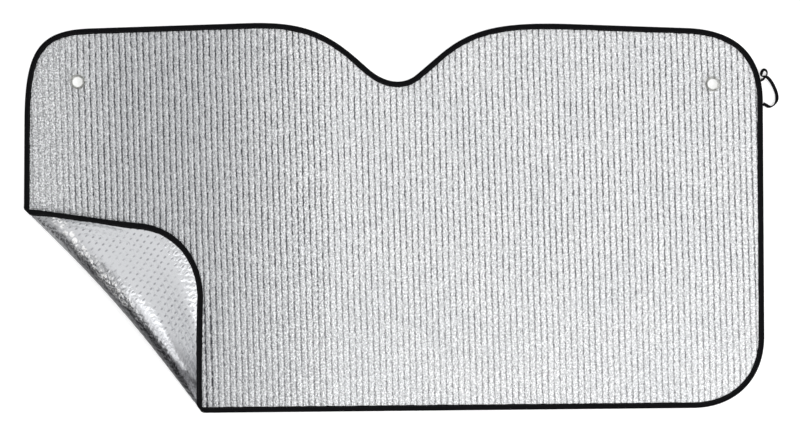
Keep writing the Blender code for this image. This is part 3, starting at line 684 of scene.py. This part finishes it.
def woven_black(name, across_pitch, along_pitch, depth):
    """Plain weave from the piece's own place map: along the tape first, then across."""
    finish, tree, shader = start_material(name)
    m = maths(tree)
    run, girth, _ = own_map(tree)
    weft = m("SINE", m("MULTIPLY", run, 2 * math.pi / along_pitch))
    warp = m("SINE", m("MULTIPLY", girth, 2 * math.pi / across_pitch))
    over = m("MULTIPLY", weft, warp)
    where = object_place(tree)
    fuzz = noise_at(tree, where, 900.0, 2.0)
    second_tone_share = noise_at(tree, where, 22.0, 3.0)
    light = m("MULTIPLY_ADD", m("ADD", over, 1.0), 0.25, m("MULTIPLY", second_tone_share, 0.5))
    worn_yarn = tuple(c * WORN_BRIGHTER for c in YARN)
    feed(tree, shader.inputs["Base Color"], mixed(tree, light, (*YARN, 1), (*worn_yarn, 1)))
    feed(tree, shader.inputs["Roughness"], ramp(tree, second_tone_share, 0.3, 0.7, 0.72, 0.92))
    shader.inputs["Specular IOR Level"].default_value = 0.05
    shader.inputs["Sheen Weight"].default_value = 0.006
    shader.inputs["Sheen Roughness"].default_value = 0.5
    bumped(tree, shader, m("MULTIPLY_ADD", fuzz, 0.6, over), depth, 0.8)
    return finish

BLACK_TAPE = woven_black("black_tape_weave", 0.0011, 0.0013, 0.00012)

def wander_along(run, size, lengths):
    """A slow wave along the edge, the same each time, that closes on itself."""
    whole = run[-1] + (run[1] - run[0])
    return size * sum(np.sin(2 * np.pi * run / whole * n + n * 1.7) for n in lengths) / len(lengths)

def tape_section():
    """Half of the folded tape: (distance from the edge, height), from the front's inner
    line round the outside to the edge."""
    return [(0.0097, 0.00112), (0.0101, 0.00135), (0.0101, 0.00165), (0.0095, 0.00185),
            (0.0080, 0.00195), (0.0060, 0.00198), (0.0040, 0.00192), (0.0022, 0.00178),
            (0.0010, 0.00150), (0.0003, 0.00090)]

def edge_tape():
    points, inward, run = edge_line(0.0024)
    half = tape_section()
    inside = [(0.0016, -0.00095), (0.0012, -0.0004), (0.0012, 0.0004), (0.0016, 0.00095)]
    section = np.array(half + [(0.0, 0.0)] + [(d, -h) for d, h in reversed(half)] + inside)
    shift = wander_along(run, 0.0005, (31, 57, 83, 131, 211))
    swell = wander_along(run, 0.06, (97, 173, 310))
    inner = smooth_step((section[:, 0] - 0.003) / 0.006)
    deep = section[None, :, 0] + inner[None, :] * shift[:, None]
    tall = section[None, :, 1] * (1 + inner[None, :] * swell[:, None])
    x = points[:, 0, None] + inward[:, 0, None] * deep
    y = points[:, 1, None] + inward[:, 1, None] * deep
    tall = np.maximum(tall, -SHEET_MIDDLE + 0.00005)
    places = carried(x, y, tall) + TO_FRAME
    faces, steps = woven_faces(len(points), len(section), True, True)
    girth = girth_of(section, 0.001)
    seam = np.stack([steps[..., 0] * (run[1] - run[0]), girth[steps[..., 1]]], axis=-1)
    return add_piece("edge_tape", places.reshape(-1, 3), faces, BLACK_TAPE, seam)

edge_binding = edge_tape()
print("tape:", len(edge_binding.data.polygons) * 2, "triangles")

# %% [markdown]
# ## Stitches, set along a line by Geometry Nodes
#
# A machine sews the tape down with a stitch every few millimetres. Anything that repeats
# along a path is a job for Geometry Nodes: the seam line is resampled at the stitch length,
# one short thread is instanced on each point and turned to follow the line. The tree ends in
# Realize Instances, so the result is a plain mesh.

# %% Stitches
STITCH_INPUTS = {"Stitch Length": 0.0026, "Stitch Pitch": 0.0040, "Thread": 0.00022}

def stitch_tree():
    tree = bpy.data.node_groups.new("stitches_on_a_line", "GeometryNodeTree")
    tree.interface.new_socket("Stitches", in_out="OUTPUT", socket_type="NodeSocketGeometry")
    tree.interface.new_socket("Line", in_out="INPUT", socket_type="NodeSocketGeometry")
    for name in STITCH_INPUTS:
        tree.interface.new_socket(name, in_out="INPUT", socket_type="NodeSocketFloat")
    tree.interface.new_socket("Seed", in_out="INPUT", socket_type="NodeSocketInt")
    tree.interface.new_socket("Finish", in_out="INPUT", socket_type="NodeSocketMaterial")
    given = tree.nodes.new("NodeGroupInput").outputs
    dots = tree.nodes.new("GeometryNodeCurveToPoints")
    dots.mode = "LENGTH"
    feed(tree, dots.inputs["Curve"], given["Line"])
    feed(tree, dots.inputs["Length"], given["Stitch Pitch"])
    thread = step(tree, "GeometryNodeMeshUVSphere", Segments=6, Rings=5, Radius=1.0)
    half = sum_of(tree, "MULTIPLY", given["Stitch Length"], 0.5)
    shape = step(tree, "ShaderNodeCombineXYZ", X=half, Y=given["Thread"], Z=given["Thread"])
    thread = step(tree, "GeometryNodeTransform", Geometry=thread, Scale=shape)
    jitter = tree.nodes.new("FunctionNodeRandomValue")
    jitter.data_type = "FLOAT"
    floats = [s for s in jitter.inputs if s.type == "VALUE" and s.enabled]
    floats[0].default_value, floats[1].default_value = 0.85, 1.1
    feed(tree, jitter.inputs["Seed"], given["Seed"])
    size = next(s for s in jitter.outputs if s.enabled)
    turn = step(tree, "FunctionNodeAlignRotationToVector", options={"axis": "X"},
                Vector=dots.outputs["Tangent"])
    rows = step(tree, "GeometryNodeInstanceOnPoints", Points=dots.outputs["Points"],
                Instance=thread, Rotation=turn, Scale=size)
    real = step(tree, "GeometryNodeRealizeInstances", Geometry=rows)
    done = step(tree, "GeometryNodeSetMaterial", Geometry=real, Material=given["Finish"])
    leave = tree.nodes.new("NodeGroupOutput")
    tree.links.new(done, leave.inputs[0])
    return tree

def black_thread():
    finish, tree, shader = start_material("black_thread")
    where = object_place(tree)
    twist = step(tree, "ShaderNodeTexWave", Vector=where, Scale=700.0, Distortion=2.0)
    fuzz = noise_at(tree, where, 1500.0)
    feed(tree, shader.inputs["Base Color"],
         mixed(tree, twist, (0.010, 0.010, 0.011, 1), (0.040, 0.040, 0.043, 1)))
    feed(tree, shader.inputs["Roughness"], ramp(tree, fuzz, 0.3, 0.7, 0.45, 0.65))
    bumped(tree, shader, twist, 0.00008)
    return finish

BLACK_THREAD = black_thread()
line_of_stitches = stitch_tree()

def seam_line(name, deep, height):
    """A closed poly curve that follows the tape at one depth and height."""
    points, inward, _ = edge_line(0.003)
    places = carried(points[:, 0] + inward[:, 0] * deep, points[:, 1] + inward[:, 1] * deep,
                     np.full(len(points), height)) + TO_FRAME
    curve = bpy.data.curves.new(name, "CURVE")
    curve.dimensions = "3D"
    spline = curve.splines.new("POLY")
    spline.points.add(len(places) - 1)
    spline.points.foreach_set("co", np.hstack([places, np.ones((len(places), 1))]).ravel())
    spline.use_cyclic_u = True
    line = bpy.data.objects.new(name, curve)
    bpy.context.scene.collection.objects.link(line)
    return line

def stitched(name, height):
    line = seam_line(name + "_line", SEAM_DEPTH, height)
    piece = grown_on(line, name, line_of_stitches,
                     {**STITCH_INPUTS, "Seed": 3, "Finish": BLACK_THREAD})
    piece.data.shade_smooth()
    return piece

SEAM_DEPTH = 0.0078
front_stitches = stitched("front_stitches", 0.00200)
back_stitches = stitched("back_stitches", -0.00165)
print("stitches:", len(front_stitches.data.polygons), "faces on the front")

# %% [markdown]
# ## The suction cups
#
# A cup is moulded in one piece: a small head behind the film, a neck through the hole, and a
# dish that opens towards the glass. It is a turned shape, so one half section spun round the
# middle makes it, and the section's first and last points on the axis close it. The vinyl is
# milky where it is thick and clear at the thin rim. A stored value from middle to rim lets
# the finish follow that.

# %% Soft vinyl
def soft_vinyl():
    finish, tree, shader = start_material("soft_vinyl")
    _, radius, _ = own_map(tree)
    thin = ramp(tree, radius, 0.0084, 0.0094)
    where = object_place(tree)
    cloud = noise_at(tree, where, 160.0, 3.0)
    tone = mixed(tree, cloud, (0.92, 0.93, 0.91, 1), (0.96, 0.96, 0.95, 1))
    tone = mixed(tree, thin, tone, (0.90, 0.90, 0.86, 1))
    feed(tree, shader.inputs["Base Color"], tone)
    feed(tree, shader.inputs["Transmission Weight"], ramp(tree, thin, 0.0, 1.0, 0.02, 0.96))
    feed(tree, shader.inputs["Roughness"], ramp(tree, cloud, 0.3, 0.7, 0.22, 0.36))
    shader.inputs["IOR"].default_value = 1.45
    bumped(tree, shader, noise_at(tree, where, 420.0, 2.0), 0.00012)
    return finish

SOFT_VINYL = soft_vinyl()

# %% The turned cups
CUP_SEAT, CUP_COLLAR, CUP_RIM_TOP = 0.0059, 0.0077, 0.0139
CUP_SPOKES = 72

def cup_section():
    """Half section (radius, height) from the foot of the head, over the rim, back to the
    middle of the dish."""
    section = [(0.0, 0.0), (0.0048, 0.0), (0.0057, 0.0002), (0.0060, 0.0006), (0.0056, 0.0010),
               (0.0036, 0.0013), (0.0028, 0.0017), (0.0027, 0.0030), (0.0027, 0.0052),
               (0.0031, CUP_SEAT), (0.0046, CUP_SEAT), (0.0050, 0.0062), (0.0050, 0.0072),
               (0.0054, CUP_COLLAR)]
    dish = CUP_RIM_TOP - CUP_COLLAR
    for share in np.linspace(0.1, 1, 12):
        section.append((0.0050 + 0.0078 * share,
                        CUP_COLLAR + dish * share ** 1.6 - 0.0003 * share))
    section += [(0.0130, CUP_RIM_TOP - 0.0002), (0.0128, CUP_RIM_TOP),
                (0.0122, CUP_RIM_TOP - 0.0001)]
    for share in np.linspace(0.95, 0.12, 14):
        section.append((0.0118 * share, CUP_COLLAR + 0.0014 + (dish - 0.0016) * share ** 1.6))
    return section + [(0.0010, CUP_COLLAR + 0.00150), (0.0, CUP_COLLAR + 0.00155)]

def turned_cup(name, centre):
    section = np.array(cup_section())
    angle = np.linspace(0, 2 * np.pi, CUP_SPOKES, endpoint=False)
    # hand-pressed vinyl is never quite round, and its rim dips a little
    reach = section[None, :, 0] * (1 + 0.012 * np.cos(2 * angle[:, None] + 0.8)
                                   * (section[None, :, 0] > 0.009))
    x = centre[0] + reach * np.cos(angle)[:, None]
    y = centre[1] + reach * np.sin(angle)[:, None]
    z = np.broadcast_to(section[None, :, 1], x.shape)
    faces, steps = woven_faces(len(angle), len(section), True, False)
    seam = np.stack([steps[..., 0] / CUP_SPOKES, section[steps[..., 1], 0]], axis=-1)
    piece = add_piece(name, np.stack([x, y, z], axis=-1).reshape(-1, 3), faces, SOFT_VINYL, seam)
    edit = bmesh.new()
    edit.from_mesh(piece.data)
    bmesh.ops.remove_doubles(edit, verts=edit.verts, dist=1e-6)
    bmesh.ops.recalc_face_normals(edit, faces=edit.faces)
    edit.to_mesh(piece.data)
    edit.free()
    return piece

def box_middle(node):
    low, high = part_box(node)
    return ((low[0] + high[0]) / 2, (low[1] + high[1]) / 2)

left_cup = turned_cup("left_cup", box_middle("suction_cup_left"))
right_cup = turned_cup("right_cup", box_middle("suction_cup_right"))
print("cups at", [tuple(round(v, 4) for v in box_middle(n))
                  for n in ("suction_cup_left", "suction_cup_right")])

# %% [markdown]
# ## The elastic band
#
# A flat woven elastic is sewn into the tape at both ends. It is short and springy and lies
# twisted in a small pigtail, so it shows now its face and now its thin edge. The band is a
# sweep of a flat section along its route. A second list says how far the section is rolled
# over at each point, from 0, lying flat, to 1, standing on its edge.

# %% The route of the elastic
BAND_WIDTH, BAND_THICKNESS, BAND_EDGE_ROUND, BAND_STEP = 0.0060, 0.0013, 0.00035, 0.0012
ELASTIC_DROP, ELASTIC_SPAN, ELASTIC_STEP, CLEARANCE = 0.0861, 0.0402, 0.0035, 0.0003
# the flat lower end leaves the tape aslant, a little further down than its middle line
LOWER_SEWN_ON = 0.0024
# (x, y) from the upper sewn end, height above the ground, and roll
BAND_ROUTE = [
    (0.0076, 0.0052, 0.0026, 0.85), (0.0101, 0.0086, 0.0030, 0.95),
    (0.0108, 0.0119, 0.0038, 0.95), (0.0094, 0.0155, 0.0048, 0.80),
    (0.0063, 0.0175, 0.0056, 0.55), (0.0032, 0.0168, 0.0062, 0.35),
    (0.0010, 0.0136, 0.0068, 0.25), (-0.0003, 0.0097, 0.0073, 0.35),
    (0.0002, 0.0070, 0.0079, 0.65), (0.0025, 0.0059, 0.0085, 0.75),
    (0.0060, 0.0056, 0.0086, 0.55), (0.0099, 0.0044, 0.0076, 0.30),
    (0.0142, 0.0009, 0.0060, 0.12), (0.0185, -0.0046, 0.0046, 0.08),
    (0.0226, -0.0117, 0.0035, 0.10), (0.0264, -0.0204, 0.0028, 0.10),
    (0.0282, -0.0276, 0.0024, 0.08), (0.0283, -0.0339, 0.0023, 0.15),
    (0.0265, -0.0389, 0.0023, 0.50), (0.0228, -0.0439, 0.0024, 0.80),
    (0.0181, -0.0467, 0.0024, 0.80), (0.0134, -0.0465, 0.0022, 0.45),
    (0.0087, -0.0438, 0.0019, 0.12),
]
print("route of the elastic:", len(BAND_ROUTE), "points between its ends")

# %% The band
def edge_exit(drop):
    """The sheet's edge at a height of the drawing, and the way out of it."""
    points, inward, _ = edge_line(0.001)
    right = np.where(points[:, 0] > 0.3)[0]
    near = right[np.abs(points[right, 1] - (SIDE_HEIGHT - drop)).argmin()]
    return points[near] + TO_FRAME[:2], -inward[near]

def smooth_path(rows, spacing):
    """Catmull-Rom curve through the rows, in even short steps."""
    rows = np.array(rows)
    padded = np.vstack([2 * rows[0] - rows[1], rows, 2 * rows[-1] - rows[-2]])
    fine = []
    for a, b, c, d in zip(padded, padded[1:], padded[2:], padded[3:]):
        for t in np.linspace(0, 1, 12, endpoint=False):
            fine.append(0.5 * (2 * b + (c - a) * t + (2 * a - 5 * b + 4 * c - d) * t ** 2
                               + (3 * b - a - 3 * c + d) * t ** 3))
    fine = np.array(fine + [rows[-1]])
    far = np.concatenate([[0], np.cumsum(np.linalg.norm(np.diff(fine[:, :3], axis=0), axis=1))])
    even = np.linspace(0, far[-1], max(2, round(far[-1] / spacing)))
    path = np.stack([np.interp(even, far, fine[:, k]) for k in range(rows.shape[1])], axis=1)
    return path, far[-1]

upper, upper_out = edge_exit(ELASTIC_DROP)
lower, lower_out = edge_exit(ELASTIC_DROP + ELASTIC_SPAN + LOWER_SEWN_ON)

def band_rows():
    stub = lambda edge, out, far, roll: (*(edge + out * far), SHEET_MIDDLE, roll)
    rows = [stub(upper, upper_out, CLEARANCE, 0.3), stub(upper, upper_out, ELASTIC_STEP, 0.6)]
    rows += [(upper[0] + x, upper[1] + y, z, roll) for x, y, z, roll in BAND_ROUTE]
    return rows + [stub(lower, lower_out, CLEARANCE, 0.1)]

band_path, band_length = smooth_path(band_rows(), BAND_STEP)
print("elastic: length", round(band_length, 4), "m")

# %% Sweeping the band
BLACK_ELASTIC = woven_black("black_elastic_weave", 0.0007, 0.0010, 0.00014)

def flat_band():
    centre, roll = band_path[:, :3].copy(), band_path[:, 3] * np.pi / 2
    reach = np.abs(np.sin(roll)) * BAND_WIDTH / 2 + np.abs(np.cos(roll)) * BAND_THICKNESS / 2
    centre[:, 2] = np.maximum(centre[:, 2], reach + 0.0002)
    forward = np.gradient(centre, axis=0)
    forward /= np.linalg.norm(forward, axis=1)[:, None]
    side = np.cross(forward, (0, 0, 1.0))
    side /= np.linalg.norm(side, axis=1)[:, None]
    up = np.cross(side, forward)
    wide = side * np.cos(roll)[:, None] + up * np.sin(roll)[:, None]
    thick = up * np.cos(roll)[:, None] - side * np.sin(roll)[:, None]
    w, t, r = BAND_WIDTH / 2, BAND_THICKNESS / 2, BAND_EDGE_ROUND
    section = np.array([
        (-w, -t + r), (-w + r, -t), (-w * 0.5, -t * 0.9), (0, -t), (w * 0.5, -t * 0.9),
        (w - r, -t), (w, -t + r), (w, t - r), (w - r, t), (w * 0.5, t * 0.9), (0, t),
        (-w * 0.5, t * 0.9), (-w + r, t), (-w, t - r)])
    places = (centre[:, None] + wide[:, None] * section[None, :, 0, None]
              + thick[:, None] * section[None, :, 1, None])
    faces, steps = woven_faces(len(centre), len(section), False, True)
    girth = girth_of(section, 0.0007)
    seam = np.stack([steps[..., 0] * BAND_STEP, girth[steps[..., 1]]], axis=-1)
    piece = add_piece("flat_elastic", places.reshape(-1, 3), faces, BLACK_ELASTIC, seam)
    edit = bmesh.new()
    edit.from_mesh(piece.data)
    bmesh.ops.holes_fill(edit, edges=[e for e in edit.edges if e.is_boundary])
    bmesh.ops.recalc_face_normals(edit, faces=edit.faces)
    edit.to_mesh(piece.data)
    edit.free()
    return piece, centre

elastic, elastic_line = flat_band()
print("band:", len(elastic.data.polygons), "faces, highest", round(elastic_line[:, 2].max(), 4))

# %% [markdown]
# ## The studio
#
# The shade lies on a white floor. The floor is a plain white that also glows a little towards
# the camera and in reflections, so it shows white while the shadow on it stays. Film with a
# metal coat shows the room, so the room is drawn as a brightness for each direction: a
# ceiling that grows brighter towards the near side and dims on the left, a pale wall behind,
# and at the near left a long window beside a dark corner, which the roll mirrors as a light
# and a dark band. Two soft lamps stand over the right hand side.

# %% Floor
FLOOR_GLOW, MIRRORED_GLOW, FLOOR_REACH, FLOOR_DROP = 0.44, 0.10, 30.0, -0.0004

def studio_floor():
    finish, tree, shader = start_material("studio_floor")
    m = maths(tree)
    rays = tree.nodes.new("ShaderNodeLightPath").outputs
    shader.inputs["Base Color"].default_value = (0.82, 0.82, 0.82, 1)
    shader.inputs["Roughness"].default_value = 0.9
    shader.inputs["Emission Color"].default_value = (1, 1, 1, 1)
    mirrored = m("MAXIMUM", rays["Is Glossy Ray"], rays["Is Transmission Ray"])
    glow = m("MAXIMUM", m("MULTIPLY", rays["Is Camera Ray"], FLOOR_GLOW),
             m("MULTIPLY", mirrored, MIRRORED_GLOW))
    feed(tree, shader.inputs["Emission Strength"], glow)
    return finish

floor = add_piece("floor", [(x * FLOOR_REACH, y * FLOOR_REACH, FLOOR_DROP)
                            for x, y in ((-1, -1), (1, -1), (1, 1), (-1, 1))],
                  [(0, 1, 2, 3)], studio_floor())

# %% Lamps and room
def soft_lamp(name, place, target, size, power):
    lamp = bpy.data.lights.new(name, "AREA")
    lamp.shape, lamp.size, lamp.size_y, lamp.energy = "RECTANGLE", *size, power
    holder = bpy.data.objects.new(name, lamp)
    holder.location = place
    way = Vector(target) - Vector(place)
    holder.rotation_euler = way.to_track_quat("-Z", "Y").to_euler()
    bpy.context.scene.collection.objects.link(holder)

# each pair is where a smooth passage starts and ends, as the share of a direction that
# points up, right, back or towards the corner. The ceiling is limited, more so low down
CEILING, CEILING_SLOPE, CEILING_MOST = 1.20, (0.70, -4.3, 0.0), 1.75
CEILING_EDGE, LOW_MOST = (0.45, 0.78), 0.85
# it is darker towards the near side's horizon and, in two passages, to the left
NEAR_SIDE, NEAR_SHADE = (-0.40, -0.22), 0.80
LEFT_SIDE, LEFT_SHADE = (-0.30, -0.16), 0.55
DIM_SIDE, DIM_LEVEL = (-0.50, -0.28), 0.10
# a faint strip of light on the right, up to the wall, and the pale wall behind
STRIP_NEAR, STRIP_FAR, STRIP_END, STRIP_LEVEL = (0.26, 0.36), (0.58, 0.68), (0.12, 0.22), 0.10
WALL_EDGE, WALL_LEVEL = (0.08, 0.26), 0.97
# the near left corner is dark, with a long window before it
CORNER_TOWARDS, WINDOW_EDGE, CORNER_EDGE = (-0.753, -0.659, 0.0), (0.44, 0.50), (0.64, 0.70)
WINDOW_END, WINDOW_NEAR, WINDOW_LEVEL, CORNER_SHADE = (-0.50, -0.28), 0.90, 1.05, 0.94

def studio_room():
    room = bpy.data.worlds.new("room")
    room.use_nodes = True
    tree = room.node_tree
    m = maths(tree)
    way = step(tree, "ShaderNodeTexCoord", outcome="Generated")

    def facing(towards):
        node = tree.nodes.new("ShaderNodeVectorMath")
        node.operation = "DOT_PRODUCT"
        tree.links.new(way, node.inputs[0])
        node.inputs[1].default_value = towards
        return node.outputs["Value"]

    right, back, up = facing((1, 0, 0)), facing((0, 1, 0)), facing((0, 0, 1))
    corner = facing(CORNER_TOWARDS)
    most = ramp(tree, up, *CEILING_EDGE, LOW_MOST, CEILING_MOST)
    ceiling = product(tree, m("MINIMUM", m("ADD", facing(CEILING_SLOPE), CEILING), most),
                      ramp(tree, back, *NEAR_SIDE, NEAR_SHADE, 1.0),
                      ramp(tree, right, *LEFT_SIDE, LEFT_SHADE, 1.0),
                      ramp(tree, right, *DIM_SIDE, DIM_LEVEL, 1.0))
    strip = product(tree, ramp(tree, right, *STRIP_NEAR),
                    ramp(tree, right, *STRIP_FAR, 1.0, 0.0),
                    ramp(tree, back, *STRIP_END, 1.0, 0.0))
    ceiling = m("MULTIPLY_ADD", strip, STRIP_LEVEL, ceiling)
    level = m("MAXIMUM", ceiling, ramp(tree, back, *WALL_EDGE, 0.0, WALL_LEVEL))
    window = product(tree, ramp(tree, corner, *WINDOW_EDGE),
                     ramp(tree, back, *WINDOW_END, WINDOW_NEAR, WINDOW_LEVEL))
    level = product(tree, m("MAXIMUM", level, window),
                    ramp(tree, corner, *CORNER_EDGE, 1.0, 1.0 - CORNER_SHADE))
    # the camera sees a plain white backdrop
    rays = tree.nodes.new("ShaderNodeLightPath").outputs
    level = m("MAXIMUM", level, rays["Is Camera Ray"])
    feed(tree, tree.nodes["Background"].inputs["Strength"], level)
    tree.nodes["Background"].inputs["Color"].default_value = (1, 1, 1, 1)
    return room

bpy.context.scene.world = studio_room()
soft_lamp("key", (1.2, -0.9, 2.8), (0.1, 0.0, 0.0), (1.6, 1.4), 4)
soft_lamp("near_light", (1.5, -2.6, 2.0), (0.0, 0.0, 0.0), (2.0, 1.4), 18)
bpy.context.scene.view_settings.view_transform = "Standard"
print("room from", DIM_LEVEL, "to", CEILING_MOST, "floor glow", FLOOR_GLOW)

# %% [markdown]
# ## Handing the pieces over
#
# Each piece is hung on the empty of the moving body it rides on, and the solids it stands for
# are hidden.

# %% Bodies and solids
for skin in (front_film, back_film):
    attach(skin, "root")
    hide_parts("foil_panel")
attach(edge_binding, "root")
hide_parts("edge_binding")
for seam in (front_stitches, back_stitches):
    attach(seam, "root")
for cup, node in ((left_cup, "suction_cup_left"), (right_cup, "suction_cup_right")):
    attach(cup, "root")
    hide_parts(node)
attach(elastic, "root")
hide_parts("elastic_loop")
